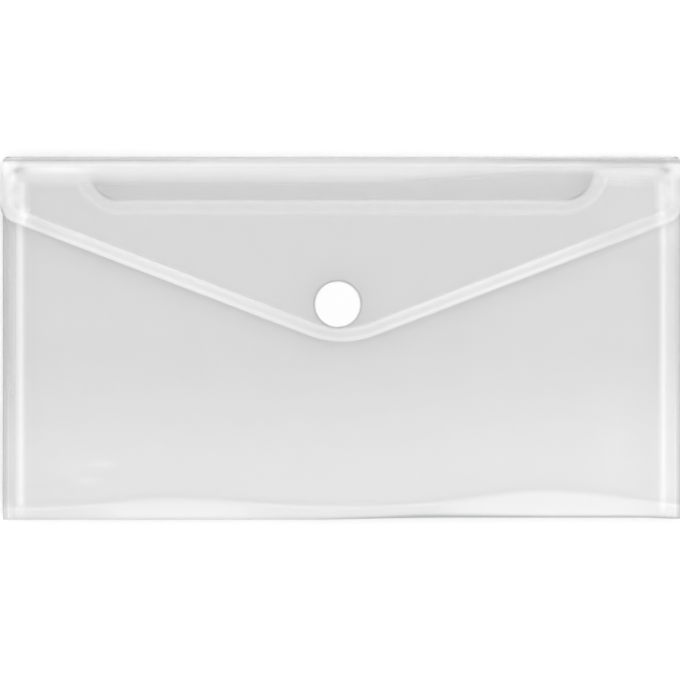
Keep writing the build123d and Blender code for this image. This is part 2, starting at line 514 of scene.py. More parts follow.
# Steps between the points of the blanks
FOLD_STEP = 0.3
BACK_STEP = 4
FLAP_STEP = 2
FLAP_COLUMN_STEP = 2.5
FLAP_SIDE_STEP = 0.8
FLAP_EDGE_STEP = 1.6
FRONT_STEP = 2
FRONT_COLUMN_STEP = 2.4
CUTOUT_SIDE_STEP = 1.2
CUTOUT_FLOOR_STEP = 2.5
EAR_STEP = 0.5

# Distances from a side edge at which the blanks have lines for the weld and for the gusset's inner fold
WELD_LINES = [0, 0.25, 0.5, 0.9, 1.3, 1.7, 2.1, 2.5, 3.2, 4.4]
GUSSET_LINES = [5.4, 6.0, 6.5, 7.0, 7.5, 8.1, 8.9]

# Shares of a raised border's width at which its blank has lines, and the width of the border's inner step
BORDER_SHARES = np.array([0, 0.04, 0.09, 0.16, 0.27, 0.39, 0.53, 0.67, 0.8, 0.88, 0.94, 1, 1.06, 1.14])
BORDER_STEP = 0.45

# Room that a blank's loose points leave to its edge, to the border's innermost line and to the dot's edge
EDGE_ROOM = 0.15
BORDER_ROOM = 0.7
DOT_ROOM = 1.5

# Distances from the dot's edge at which the blanks have rings
DOT_RINGS = (-0.5, -0.1, 0.1, 0.4, 0.8)


def corner_inset(y):
    """How far the side edges are drawn in at the wallet's rounded top corners."""
    past = np.clip(y - TOP_Y + FOLD_CORNER, 0, FOLD_CORNER)
    return FOLD_CORNER - np.sqrt(FOLD_CORNER**2 - past**2)


def folded(pattern, upper):
    """Lays a flat blank around the top fold, from below or from above: flat up to it, then along it."""
    past = np.maximum(pattern[:, 1] - FOLD_Y, 0) / FOLD_MEAN
    turn = pi - past if upper else past
    y = np.minimum(pattern[:, 1], FOLD_Y) + FOLD_OUT * np.sin(past)
    x = pattern[:, 0] * (1 - corner_inset(y) / HALF_WIDTH)
    z = FOLD_Z - FOLD_RADIUS * np.cos(turn)
    return np.stack([x, y, z], axis=1)


def sheet_columns(step):
    """Places across the wallet, closer together at the side edges, the welds and the gussets' folds."""
    near_edge = HALF_WIDTH - np.array(WELD_LINES + GUSSET_LINES)
    middle = near_edge[-1] - step
    return np.concatenate([-near_edge, spread(-middle, middle, step), near_edge[::-1]])


def on_rows(q, *rows):
    """1 for the points on any of some rows of a blank, and 0 for the others."""
    return np.any([np.isclose(q, row, atol=0.005) for row in rows], axis=0).astype(float)


# Painted highlight and painted shade of the back and of the top fold
BACK_FOLD_HIGHLIGHT = 0.06
BACK_EDGE_DARK = 0.5
CREST_DARK = {
    "all along": (0.5,),
    "right half": (-0.4, (ease, 30, 85)),
}


def make_back():
    """The back panel with the lower third of the top fold."""
    flat_rows = spread(BACK_LOW[1], FOLD_Y, BACK_STEP)
    rows = np.concatenate([flat_rows, spread(FOLD_Y, EDGE_ROW, FOLD_STEP)[1:]])
    pattern, faces = lattice(sheet_columns(BACK_STEP), rows)
    x, q = pattern.T
    # Painted highlight where the fold starts, and painted shade along the cut sides
    haze_and_highlight = BACK_FOLD_HIGHLIGHT * ridge(q, FOLD_Y, 1.5)
    shade = BACK_EDGE_DARK * fade(HALF_WIDTH - np.abs(x), 0.2, 0.6)
    seam = on_rows(q, EDGE_ROW, BACK_LOW[1])
    piece = film_piece("back_sheet", folded(pattern, False), faces, haze_and_highlight, shade, seam, "shaded_back_film")
    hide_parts("back_panel")
    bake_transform(piece)


def make_top_fold():
    """The middle third of the top fold."""
    last = FOLD_Y + FOLD_MEAN * (pi - FOLD_BEND)
    pattern, faces = lattice(sheet_columns(BACK_STEP), spread(SEAM_ROW, last, FOLD_STEP))
    x, q = pattern.T
    # Painted shade along the fold's crest, weaker on the right, and at the fold's ends
    crest = strokes(CREST_DARK, x, q) * ridge(q, (SEAM_ROW + last) / 2, 1.3)
    shade = np.maximum(crest, fade(HALF_WIDTH - np.abs(x), 0.6, 1.6))
    piece = film_piece("top_fold", folded(pattern, False), faces, 0, shade, on_rows(q, SEAM_ROW, last))
    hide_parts("hinge_strip_1", "hinge_strip_2")
    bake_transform(piece)


class DotPlace:
    """Where a disc of the dot sits, and what it does to the sheet that carries it."""

    def __init__(self, node):
        """Takes the place from the disc's node in the frame."""
        self.low, self.high = corners(node)
        self.centre = (self.low + self.high) / 2
        self.radius = (self.high[0] - self.low[0]) / 2

    def at(self, height):
        """The disc's middle at a height, in metres."""
        return (self.centre[0] * MM, self.centre[1] * MM, height * MM)

    def rings(self):
        """Lines that the sheet's blank needs around the disc."""
        return [arc(self.centre, self.radius + step, 0, 2 * pi, 61) for step in DOT_RINGS]

    def distance(self, points):
        """How far points of the sheet lie outside the disc, and less than 0 within it."""
        return np.hypot(points[:, 0] - self.centre[0], points[:, 1] - self.centre[1]) - self.radius

    def wetted(self, points):
        """1 where the adhesive wets the film, so that its haze is gone, and 0 around it."""
        return fade(self.distance(points), -0.1, 0.1)

    def rim(self, points):
        """1 at the thin line of painted shadow around the disc, falling to 0 at the outermost ring."""
        distance = self.distance(points)
        return ease(distance, -0.3, 0.3) * fade(distance, 0.4, 0.8)


# Painted highlight of a raised border: all over it, along its outer line and along its inner line
BORDER_HIGHLIGHT = 0.24
OUTER_LINE_HIGHLIGHT = 0.32
INNER_LINE_HIGHLIGHT = 0.28


def border_highlight(distance, width):
    """Painted highlight of a raised border: two bright lines with a duller groove between them."""
    band = fade(distance, width - 0.2, width + 0.5)
    outer = ridge(distance, 1.0, 0.7)
    inner = ridge(distance, width - 0.8, 0.8)
    return BORDER_HIGHLIGHT * band + OUTER_LINE_HIGHLIGHT * outer + INNER_LINE_HIGHLIGHT * inner


# Flap

# Height and wave lengths of the flap's soft waves, and how far from its border they are full
FLAP_WAVE = 0.05
FLAP_WAVE_X = 19
FLAP_WAVE_Y = 13
FLAP_WAVE_REACH = 12

# Where the flap's flat stretch ends, and where its sides are drawn in to the fold's width
FLAT_END = (FOLD_Y - 3, FOLD_Y)
ROOT_ZONE = (FOLD_Y - 5, FOLD_Y - 0.5)

# Profile along the flap past the start of the fold
PAST_FOLD = (ease, FOLD_Y - 0.3, FOLD_Y + 1.1)

# Profiles across and along of the gussets' upper ends, which show through the flap as painted shadow
GUSSET_END = ((ridge, HALF_WIDTH - 6.3, 2.3), (ridge, GUSSET_TOP_Y - 0.5, 1.2))

# Painted highlights of the flap, and how much clearer than its finish it is, in rows for the function
# strokes
FLAP_HIGHLIGHTS = {
    "spot on the left shoulder": (0.5, (ridge, -117, 1.6), (ridge, 45.4, 2.2)),
    "left end of the fold": (0.5, (ridge, -104, 11), (ridge, FOLD_Y - 0.1, 1.0)),
    "bright line of the fold": (0.16, (fade, -70, 20), (ridge, FOLD_Y - 0.5, 0.8)),
    "soft line of the fold": (0.08, (fade, 0, 60), (ridge, FOLD_Y - 1.4, 1.0)),
}
FLAP_CLEAR = {
    "all over": (0.172,),
    "right half of the cut-out": (0.04, (span, 20, 80, 90, 96), (ease, 50, 53)),
}

# Painted highlight, dull and painted shade stretches both sides share, places across counted from the middle
FLAP_SIDES_HIGHLIGHT = {
    "gussets' folds": (0.45, (ridge, HALF_WIDTH - 7.4, 1.5), (fade, GUSSET_TOP_Y - 6, GUSSET_TOP_Y - 3)),
}
FLAP_SIDES_DULL = {
    "gussets' ends": (0.9, *GUSSET_END),
}
FLAP_SIDES_DARK = {
    "gussets' ends": (0.5, *GUSSET_END),
    "side edges": (0.3, (ridge, HALF_WIDTH - 0.2, 0.7), (fade, *FLAT_END)),
}

# Strength of the painted highlight on the flap's border, across the wallet
BORDER_LEVEL = {
    "all along": (1.1,),
    "tip": (-0.42, (ridge, -5, 32)),
    "right end": (-0.65, (ease, 75, 105)),
    "left end": (-0.45, (ease, -98, -112)),
}

# White of the flap's cloudy shoulders, left and right, where they lie across and where they are full along
SHOULDER_WHITE = (0.6, 0.32)
SHOULDER_ZONE = (HALF_WIDTH - 7.5, HALF_WIDTH - 3.5)
SHOULDER_RISE = (45, 51)

# Share of that white below the shoulders, and share of the border's white that they take
SHOULDER_LEAST = 0.55
SHOULDER_DULL = 0.6

# Sizes of the shoulders' clouds across and along, their mean level and how much they vary
CLOUD_SIZE = (3.5, 4.5)
CLOUD_LEVEL = 0.8
CLOUD_RANGE = 0.5

# Painted shade on the flap's cut edge, on its corners at the shoulders and as shadow at the rim of the dot
FLAP_EDGE_DARK = 0.08
FLAP_CORNER_DARK = 0.5
RIM_DARK = 0.7

# The painted shade line along the fold: its place in shares of the fold's mean radius, its width and its
# dark
FOLD_LINE_PLACE = {
    "all along": (0.78,),
    "right end": (-0.1, (ease, 80, 105)),
}
FOLD_LINE_WIDTH = {
    "all along": (0.55,),
    "right half": (0.35, (ease, 20, 60)),
}
FOLD_LINE_DARK = {
    "all along": (0.18,),
    "both ends": (0.36, (ease, 40, 75)),
}

# The painted highlight band along the fold: its start from the fold on, its rise, its strength and where it
# is duller
BAND_START = {
    "left": (-6.0,),
    "right": (3.5, (ease, 5, 75)),
    "right corner": (-2.5, (ease, HALF_WIDTH - 32, HALF_WIDTH - 20)),
}
BAND_RISE = 3.8
BAND_HIGHLIGHT = 0.32
CREST_HIGHLIGHT = 0.18
BAND_DULL = {
    "middle": (0.35, (ease, -60, 0), PAST_FOLD),
    "right": (0.15, (ease, 20, 60), PAST_FOLD),
    "right corner": (0.3, (ease, 86, 102), PAST_FOLD),
}


def flap_ring(inset, shape):
    """The flap's free edge, moved into the sheet by an inset, from the left seam round the tip."""
    shoulder_y = TOP_Y - shape.shoulder_drop / MM
    shoulder = shape.shoulder_radius / MM
    tip = shape.tip_radius / MM
    tip_centre = (0, TIP_Y + tip)
    drop = shoulder_y - tip_centre[1]
    slope = atan2(drop, FLAP_HALF_WIDTH) + asin(tip / hypot(FLAP_HALF_WIDTH, drop))
    turn = pi / 2 - slope
    shoulder_centre = (shoulder - FLAP_HALF_WIDTH, shoulder_y + shoulder * tan(turn / 2))
    side_rows = spread(FOLD_Y, shoulder_centre[1], FLAP_SIDE_STEP)[1:-1]
    rows = np.concatenate([spread(EDGE_ROW, FOLD_Y, FOLD_STEP), side_rows])
    root = FLAP_HALF_WIDTH - (FLAP_HALF_WIDTH - HALF_WIDTH) * ease(rows, *ROOT_ZONE)
    side = np.stack([inset - root, rows], axis=1)
    round_shoulder = arc(shoulder_centre, shoulder - inset, pi, pi + turn, 13)
    half_tip = arc(tip_centre, tip - inset, pi + turn, 3 * pi / 2, 13)
    edge = straight(round_shoulder[-1], half_tip[0], FLAP_EDGE_STEP)
    half = np.concatenate([side, round_shoulder, edge, half_tip])
    return np.concatenate([half, flipped(half[:-1])])


def flap_blank(shape, dot):
    """The flap's flat blank: its points, its faces and each point's distance from the free edge."""
    insets = BORDER_SHARES * (shape.border_width / MM)
    rings = [flap_ring(inset, shape) for inset in insets]
    fine = HALF_WIDTH - np.array(GUSSET_LINES[2:])
    middle = fine[-1] - FLAP_STEP
    columns = np.concatenate([-fine, spread(-middle, middle, FLAP_COLUMN_STEP), fine[::-1]])
    flat_rows = spread(FOLD_Y, TIP_Y, FLAP_STEP)[1:]
    dots, _ = lattice(columns, np.concatenate([spread(EDGE_ROW, FOLD_Y, FOLD_STEP), flat_rows]))
    dots = dots[inside(dots, rings[-1]) & (edge_distance(dots, rings[-1]) > BORDER_ROOM)]
    dots = dots[np.abs(dot.distance(dots)) > DOT_ROOM]
    top = np.concatenate([columns, HALF_WIDTH - insets[1:], insets[1:] - HALF_WIDTH])
    top = [(x, EDGE_ROW) for x in sorted(top, reverse=True)]
    pattern, faces = cut_blank(np.concatenate([rings[0], top]), rings[1:] + dot.rings(), dots)
    return pattern, faces, edge_distance(pattern, rings[0])


def fold_highlight_band(x, q):
    """Painted highlight band along the top fold: wider on the left, and duller past the fold."""
    start = FOLD_Y + strokes(BAND_START, x, q)
    band = CREST_HIGHLIGHT * ridge(q, FOLD_Y + 0.9, 1.6) + BAND_HIGHLIGHT * ease(q, start, start + BAND_RISE)
    return band * (1 - strokes(BAND_DULL, x, q))


def flap_haze_and_highlight(pattern, distance, width, flat, dot):
    """Haze and painted highlight of the flap: its border, its shoulders, the lines over the gussets and the
    fold.
    """
    x, q = pattern.T
    far = np.abs(x)
    shoulder = ease(far, *SHOULDER_ZONE)
    clouds = CLOUD_LEVEL + CLOUD_RANGE * np.array([cloud((*place, 0)) for place in pattern / CLOUD_SIZE])
    rise = SHOULDER_LEAST + (1 - SHOULDER_LEAST) * ease(q, *SHOULDER_RISE)
    shoulders = by_side(x, *SHOULDER_WHITE) * shoulder * clouds * rise
    level = strokes(BORDER_LEVEL, x, q) * (1 - SHOULDER_DULL * shoulder) * flat
    border = border_highlight(distance, width) * level
    white = border + shoulders + fold_highlight_band(x, q)
    white += strokes(FLAP_HIGHLIGHTS, x, q) + strokes(FLAP_SIDES_HIGHLIGHT, far, q)
    white *= 1 - strokes(FLAP_SIDES_DULL, far, q)
    return white - strokes(FLAP_CLEAR, x, q) - dot.wetted(pattern)


def flap_shade(pattern, distance, shoulder_y, dot):
    """Painted shade of the flap: its cut edge, the dot's rim, the fold's line, the gussets' ends and its
    sides.
    """
    x, q = pattern.T
    far = np.abs(x)
    bends = FLAP_CORNER_DARK * ridge(q, shoulder_y + 2.5, 2.5) * (far > HALF_WIDTH - 8)
    edge = (FLAP_EDGE_DARK + bends) * fade(distance, 0.15, 0.8)
    line_row = FOLD_Y + strokes(FOLD_LINE_PLACE, x, q) * FOLD_MEAN
    line = strokes(FOLD_LINE_DARK, far, q) * ridge(q, line_row, strokes(FOLD_LINE_WIDTH, x, q))
    return edge + RIM_DARK * dot.rim(pattern) + line + strokes(FLAP_SIDES_DARK, far, q)


def make_flap(shape):
    """The flap with the upper third of the top fold."""
    dot = DotPlace("hook_adhesive")
    pattern, faces, distance = flap_blank(shape, dot)
    x, q = pattern.T
    width = shape.border_width / MM
    flat = fade(q, *FLAT_END)
    waves = np.sin(x / FLAP_WAVE_X + 0.6) * np.sin(q / FLAP_WAVE_Y)
    places = folded(pattern, True)
    places[:, 2] += shape.border_height / MM * flat * fade(distance, width - BORDER_STEP, width)
    places[:, 2] += FLAP_WAVE * flat * waves * ease(distance, width, width + FLAP_WAVE_REACH)
    haze_and_highlight = flap_haze_and_highlight(pattern, distance, width, flat, dot)
    shade = flap_shade(pattern, distance, TOP_Y - shape.shoulder_drop / MM, dot)
    piece = film_piece("flap_sheet", places, faces, haze_and_highlight, shade, on_rows(q, EDGE_ROW))
    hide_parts("flap_panel")
    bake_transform(piece)


# Front

# The bottom edge: its rounding, its length along the blank, and where the sheet goes on as the back panel
NOSE_RADIUS = 0.3
NOSE_SPAN = 1.0
NOSE_Y = BOTTOM_Y + SHEET / 2 + NOSE_RADIUS
REAR_GAP = 0.05
REAR_Y = CREASES["bottom_rear_fold"][1] + REAR_GAP
FRONT_END = NOSE_Y - NOSE_SPAN - (REAR_Y - NOSE_Y)
NOSE_STEP = 0.12
UNDER_STEP = 1

# How steeply the sheet leaves the bottom edge on its way under the wallet
UNDER_CURVE = 1.7

# The lower front: how far the bottom edge is drawn in, the share lost at the right end, and the reach
BOTTOM_LIFT = 0.8
LIFT_LOSS = 0.5
LIFT_REACH = 14

# The bend to the bottom edge: how high and how softly it starts, and how much higher where the front bulges
ROLL_HEIGHT = 3.6
ROLL_SOFTNESS = 0.55
LEFT_ROLL_X = -64
LEFT_ROLL_RISE = 4.4
RIGHT_ROLL_X = 76
RIGHT_ROLL_RISE = 7.2

# Height of the stretch that takes the bend, and the step between its rows
LOWER_REACH = 16
LOWER_STEP = 0.45

# Soft bulges of the front, its waves and the middle of the calm stretch around the dot
FRONT_BULGES = {
    "right": (0.16, (ridge, 102, 9), (ridge, -49, 16)),
    "left": (0.18, (ridge, -96, 12), (ridge, -50, 7)),
}
FRONT_WAVE = 0.10
FRONT_WAVE_X = 31
FRONT_WAVE_Y = 23
CALM_X = -1.5
CALM_Y = 12.5

# Profile along the front of its ears' painted highlight band, which lies under the fold
EAR_BAND = (span, FOLD_Y - 5.8, FOLD_Y - 4.7, FOLD_Y + 0.1, FOLD_Y + 1.2)

# Haze and painted light of the front, below 0 where clearer than its finish, in rows for the function
# strokes
FRONT_HAZE_AND_PAINTED_LIGHT = {
    "all over": (-0.03,),
    # Painted reflection over the lower front, lighter to the right and darker to the left
    "foot": (0.30, (even,), (ease, 0, -50)),
    "right foot": (0.08, (ease, -20, 110), (ease, 20, -40)),
    "left foot": (-0.06, (ease, -85, -110), (ease, -45, -60)),
    # Painted shade down the left side and painted light down the right side
    "left side": (-0.18, (ease, 5.5 - HALF_WIDTH, 4.5 - HALF_WIDTH)),
    "right side": (0.07, (ease, HALF_WIDTH - 5.5, HALF_WIDTH - 4.5)),
    "right ear": (0.16, (ease, 85, 110), (ease, 30, 42)),
    # Painted highlight bands at the ears
    "left ear's band": (0.42, (ridge, -104, 13), EAR_BAND),
    "right ear's band": (0.55, (ridge, 103, 9), EAR_BAND),
    # Painted glints, with a soft painted glow around them
    "upper painted glint": (0.10, (ridge, -88, 5), (ridge, -46.5, 1.8)),
    "lower painted glint": (0.07, (ridge, -93.5, 5), (ridge, -52.5, 1.5)),
    "painted glow around the glints": (0.05, (ridge, -98, 9), (ridge, -48, 4)),
    "right streak": (0.04, (ridge, 100, 7), (ridge, -42, 14)),
}

# Painted highlight of the bend to the bottom edge, across the wallet
BEND_HIGHLIGHT = {
    "all along": (0.08,),
    "right": (0.06, (ease, 0, 70)),
    "left end": (-0.07, (ease, -80, -108)),
}

# Painted highlight of the mouth's edge, with places across counted from the middle
MOUTH_HIGHLIGHT = {
    "all along": (0.2,),
    "ears": (0.5, (ease, HALF_WIDTH - 33, HALF_WIDTH - 25)),
}

# The cut-out's border highlight against the flap's, and the white and width of the weld lines
CUTOUT_BORDER_LEVEL = 0.7
WELD_WHITE = 0.16
WELD_WIDTH = 0.3

# The gussets' fold lines are a whitened crease with painted highlight
# Lines of the gussets' inner folds: how far in, left and right, their white and their outer and inner width
FOLD_INSETS = (6.6, 6.4)
CREASE_AND_HIGHLIGHT = 0.54
FOLD_WIDTHS = (1.2, 1.4)

# Under the flap the front is clearer on the left: how much, the slope of the flap's edge, and the loss below
UNDER_FLAP_CLEAR = 0.055
UNDER_FLAP_SLOPE = 0.38
UNDER_FLAP_LOSS = 0.5

# How much clearer it is where the dot's adhesive wets it
WETTED_CLEAR = 1.5

# Painted shade on the front's cut edges, on its sides and at the start of its bend
FRONT_EDGE_DARK = 0.45
FRONT_SIDE_DARK = 0.42
BEND_DARK = 0.09

# The painted shade line of the bottom edge, across the wallet: its width along and its dark
BOTTOM_LINE_WIDTH = {
    "all along": (0.7,),
    "right of the middle": (0.5, (ridge, 38, 24)),
}
BOTTOM_LINE_DARK = {
    "all along": (0.4,),
    "right half": (0.45, (ease, -40, 35)),
}


def bottom_lift(x):
    """How much higher the bottom edge lies on the right, where the sheet is drawn in."""
    return BOTTOM_LIFT * ease(x, -15, 40) * (1 - LIFT_LOSS * ease(x, 112, 122))


def roll_start(x):
    """Where the front starts to bend down to the bottom fold: higher in two places, where it bulges."""
    left = LEFT_ROLL_RISE * ridge(x, LEFT_ROLL_X, np.where(x < LEFT_ROLL_X, 28, 42))
    right = RIGHT_ROLL_RISE * ridge(x, RIGHT_ROLL_X, 38)
    return BOTTOM_Y + ROLL_HEIGHT + left + right


def front_height(x, y):
    """Height of the front's middle surface, with its soft waves and the bend to the bottom fold."""
    start = roll_start(x)
    slope = (FRONT_Z - MIDDLE_Z - NOSE_RADIUS) / (start - NOSE_Y)
    bend = slope * ROLL_SOFTNESS * np.log1p(np.exp(np.clip((start - y) / ROLL_SOFTNESS, -40, 40)))
    from_dot = np.hypot(x - CALM_X, y - CALM_Y)
    free = ease(HALF_WIDTH - np.abs(x), 6, 24) * ease(from_dot, 12, 26) * ease(y, 50, 30)
    waves = FRONT_WAVE * np.sin(x / FRONT_WAVE_X + 0.8) * np.sin(y / FRONT_WAVE_Y - 0.4)
    return FRONT_Z - bend + free * (waves + strokes(FRONT_BULGES, x, y))


def around_bottom(pattern):
    """Lays the front's blank down its face, round the bottom edge and back under it."""
    x, q = pattern.T
    face_y = np.maximum(q, NOSE_Y)
    past = np.clip((NOSE_Y - q) / NOSE_SPAN, 0, 1) * pi
    under = np.clip((NOSE_Y - NOSE_SPAN - q) / (REAR_Y - NOSE_Y), 0, 1)
    y = face_y - NOSE_RADIUS * np.sin(past) + under * (REAR_Y - NOSE_Y)
    y += bottom_lift(x) * fade(q, NOSE_Y, NOSE_Y + LIFT_REACH) * (1 - under)
    z = np.where(past > 0, MIDDLE_Z + NOSE_RADIUS * np.cos(past), front_height(x, face_y))
    z = np.where(under > 0, BACK_Z + (MIDDLE_Z - NOSE_RADIUS - BACK_Z) * (1 - under) ** UNDER_CURVE, z)
    return np.stack([x, y, z], axis=1)


def cutout_ring(inset, shape):
    """The cut-out's edge, moved into the sheet by an inset, from its left top to its right top."""
    depth = shape.cutout_depth / MM
    run = shape.cutout_run / MM
    radius = shape.cutout_radius / MM
    lean = atan2(run, depth)
    top = (-(shape.cutout_width / MM / 2 + run) - inset / cos(lean), MOUTH_Y)
    floor_y = MOUTH_Y - depth
    centre_x = run - (shape.cutout_width / MM / 2 + run) + radius * tan((pi / 2 - lean) / 2)
    corner = arc((centre_x, floor_y + radius), radius + inset, pi + lean, 3 * pi / 2, 15)
    side = straight(top, corner[0], CUTOUT_SIDE_STEP)
    floor = straight(corner[-1], (0, floor_y - inset), CUTOUT_FLOOR_STEP)
    half = np.concatenate([[top], side, corner, floor])
    return np.concatenate([half, flipped(half)])


def front_rows(top):
    """Places along the front's blank, from its rear end round the bottom edge up to a top row."""
    lower = spread(NOSE_Y, NOSE_Y + LOWER_REACH, LOWER_STEP)
    return np.concatenate([
        spread(FRONT_END, NOSE_Y - NOSE_SPAN, UNDER_STEP)[:-1],
        spread(NOSE_Y - NOSE_SPAN, NOSE_Y, NOSE_STEP)[:-1],
        lower,
        spread(lower[-1], top, FRONT_STEP)[1:],
    ])


def front_blank(shape, dot):
    """The front's flat blank: its points, its faces and each point's distances from its edges."""
    ear = shape.ear_radius / MM
    insets = BORDER_SHARES * (shape.cutout_border / MM)
    rings = [cutout_ring(inset, shape) for inset in insets]
    rows = front_rows(MOUTH_Y - ear)
    columns = sheet_columns(FRONT_COLUMN_STEP)
    side = np.stack([np.full(len(rows) - 1, -HALF_WIDTH), rows[:-1]], axis=1)
    corner = arc((ear - HALF_WIDTH, MOUTH_Y - ear), ear, pi, pi / 2, 9)
    left = np.concatenate([side, corner, straight(corner[-1], rings[0][0], FRONT_STEP)])
    free = np.concatenate([left, rings[0], flipped(left)])
    outline = np.concatenate([free, [(x, FRONT_END) for x in columns[-2:0:-1]]])
    ear_rows = spread(MOUTH_Y - ear + EAR_STEP, MOUTH_Y - 0.3, EAR_STEP)
    dots, _ = lattice(columns, np.concatenate([rows[1:], ear_rows]))
    clear = edge_distance(dots, rings[0]) > insets[-1] + BORDER_ROOM
    dots = dots[inside(dots, outline) & clear & (edge_distance(dots, free) > EDGE_ROOM)]
    dots = dots[np.abs(dot.distance(dots)) > DOT_ROOM]
    pattern, faces = cut_blank(outline, rings[1:] + dot.rings(), dots)
    mouth = np.concatenate([[(-HALF_WIDTH, MOUTH_Y)], rings[0], [(HALF_WIDTH, MOUTH_Y)]])
    lines = {"cutout": rings[0], "mouth": mouth, "free": free}
    return pattern, faces, {name: edge_distance(pattern, line) for name, line in lines.items()}


def front_haze_and_highlight(pattern, distances, shape, dot):
    """Haze and painted light of the front: its border and welds, the gussets' folds, its ears, its foot and
    its bend.
    """
    x, q = pattern.T
    far = np.abs(x)
    border = CUTOUT_BORDER_LEVEL * border_highlight(distances["cutout"], shape.cutout_border / MM)
    welds = WELD_WHITE * ridge(HALF_WIDTH - far, shape.weld_inset / MM, WELD_WIDTH) * ease(q, 10, -45)
    mouth = strokes(MOUTH_HIGHLIGHT, far, q) * ridge(distances["mouth"], 0.8, 0.8) * (q > NOSE_Y)
    fold = HALF_WIDTH - by_side(x, *FOLD_INSETS)
    folds = CREASE_AND_HIGHLIGHT * ridge(far, fold, np.where(far > fold, *FOLD_WIDTHS)) * ease(q, NOSE_Y, NOSE_Y + 6)
    past_roll = ease(roll_start(x) - q, -1.2, 2.2) * ease(q, NOSE_Y, NOSE_Y + 0.8)
    white = border + welds + mouth + folds + strokes(FRONT_HAZE_AND_PAINTED_LIGHT, x, q)
    white += strokes(BEND_HIGHLIGHT, x, q) * past_roll
    under_flap = UNDER_FLAP_CLEAR * fade(x, 20, 105) * fade(q - UNDER_FLAP_SLOPE * far, -8, 12)
    under_flap *= 1 - UNDER_FLAP_LOSS * ease(q, -25, -45)
    return white - under_flap - WETTED_CLEAR * dot.wetted(pattern)


def front_shade(pattern, distances):
    """Painted shade of the front: its cut edges and sides, the cut-out's corners, the bottom edge and its
    bend.
    """
    x, q = pattern.T
    far = np.abs(x)
    edges = FRONT_EDGE_DARK * fade(distances["free"], 0.2, 0.95)
    cutout_corners = ridge(far, 87, 6) * fade(distances["cutout"], 0.5, 1.7)
    sides = FRONT_SIDE_DARK * fade(HALF_WIDTH - far, 0.3, 1.9)
    width = strokes(BOTTOM_LINE_WIDTH, x, q)
    bottom = strokes(BOTTOM_LINE_DARK, x, q) * ridge(q, NOSE_Y - NOSE_SPAN / 2, width)
    bend = BEND_DARK * ridge(q, roll_start(x) + 1.4, 1.2) * ease(q, NOSE_Y, NOSE_Y + 3)
    return np.maximum.reduce([edges, cutout_corners, sides, bottom]) + bend


def make_front(shape):
    """The front panel and the bottom fold, in one piece."""
    dot = DotPlace("loop_adhesive")
    pattern, faces, distances = front_blank(shape, dot)
    q = pattern[:, 1]
    width = shape.cutout_border / MM
    raised = fade(distances["cutout"], width - BORDER_STEP, width) * (q > 0)
    places = around_bottom(pattern)
    places[:, 2] += shape.border_height / MM * raised
    haze_and_highlight = front_haze_and_highlight(pattern, distances, shape, dot)
    shade = front_shade(pattern, distances)
    piece = film_piece("front_sheet", places, faces, haze_and_highlight, shade, on_rows(q, FRONT_END))
    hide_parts("front_panel", "bottom_fold_front", "bottom_fold_rear")
    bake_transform(piece)


# Gussets

# From the wallet's side edges to a gusset's own edges
STRIP_INSET = 0.1

# How much deeper than its two nodes a gusset goes, to close the gap between them
FOLD_EXTRA = 0.65

# Share of its depth that is left at its lower end, and where it widens, counted from there
LOW_DEPTH_SHARE = 0.25
TAPER_START = -0.5
TAPER_END = 4.5

# Roundings of its creases and of its inner fold
CREASE_ROUNDING = 0.5
INNER_ROUNDING = 1.1

# Steps between a gusset's rows, and the reach of the finer ones at its lower end
GUSSET_STEP = 4
GUSSET_FINE_STEP = 0.4
GUSSET_FINE_REACH = 8

# Points on each rounding of its section, and the painted shade on its cut edges
ROUNDING_POINTS = 7
GUSSET_EDGE_DARK = 0.5


def rounded_path(points, cuts, count):
    """A line through points whose corners are rounded by a cut length each."""
    path = [points[0]]
    for before, corner, after, cut in zip(points, points[1:], points[2:], cuts):
        enter = corner + (before - corner) * cut / np.linalg.norm(before - corner)
        leave = corner + (after - corner) * cut / np.linalg.norm(after - corner)
        for share in np.linspace(0, 1, count):
            path.append(enter * (1 - share) ** 2 + corner * 2 * share * (1 - share) + leave * share**2)
    return np.array(path + [points[-1]])


def gusset_section(flange, depth, front_z, rear_z):
    """Section of a gusset's strip, as distances from the side edge and heights."""
    turns = np.array([
        (STRIP_INSET, front_z), (flange, front_z), (depth, MIDDLE_Z),
        (flange, rear_z), (STRIP_INSET, rear_z),
    ])
    inner = min(INNER_ROUNDING, (depth - flange) / 2)
    return rounded_path(turns, (CREASE_ROUNDING, inner, CREASE_ROUNDING), ROUNDING_POINTS)


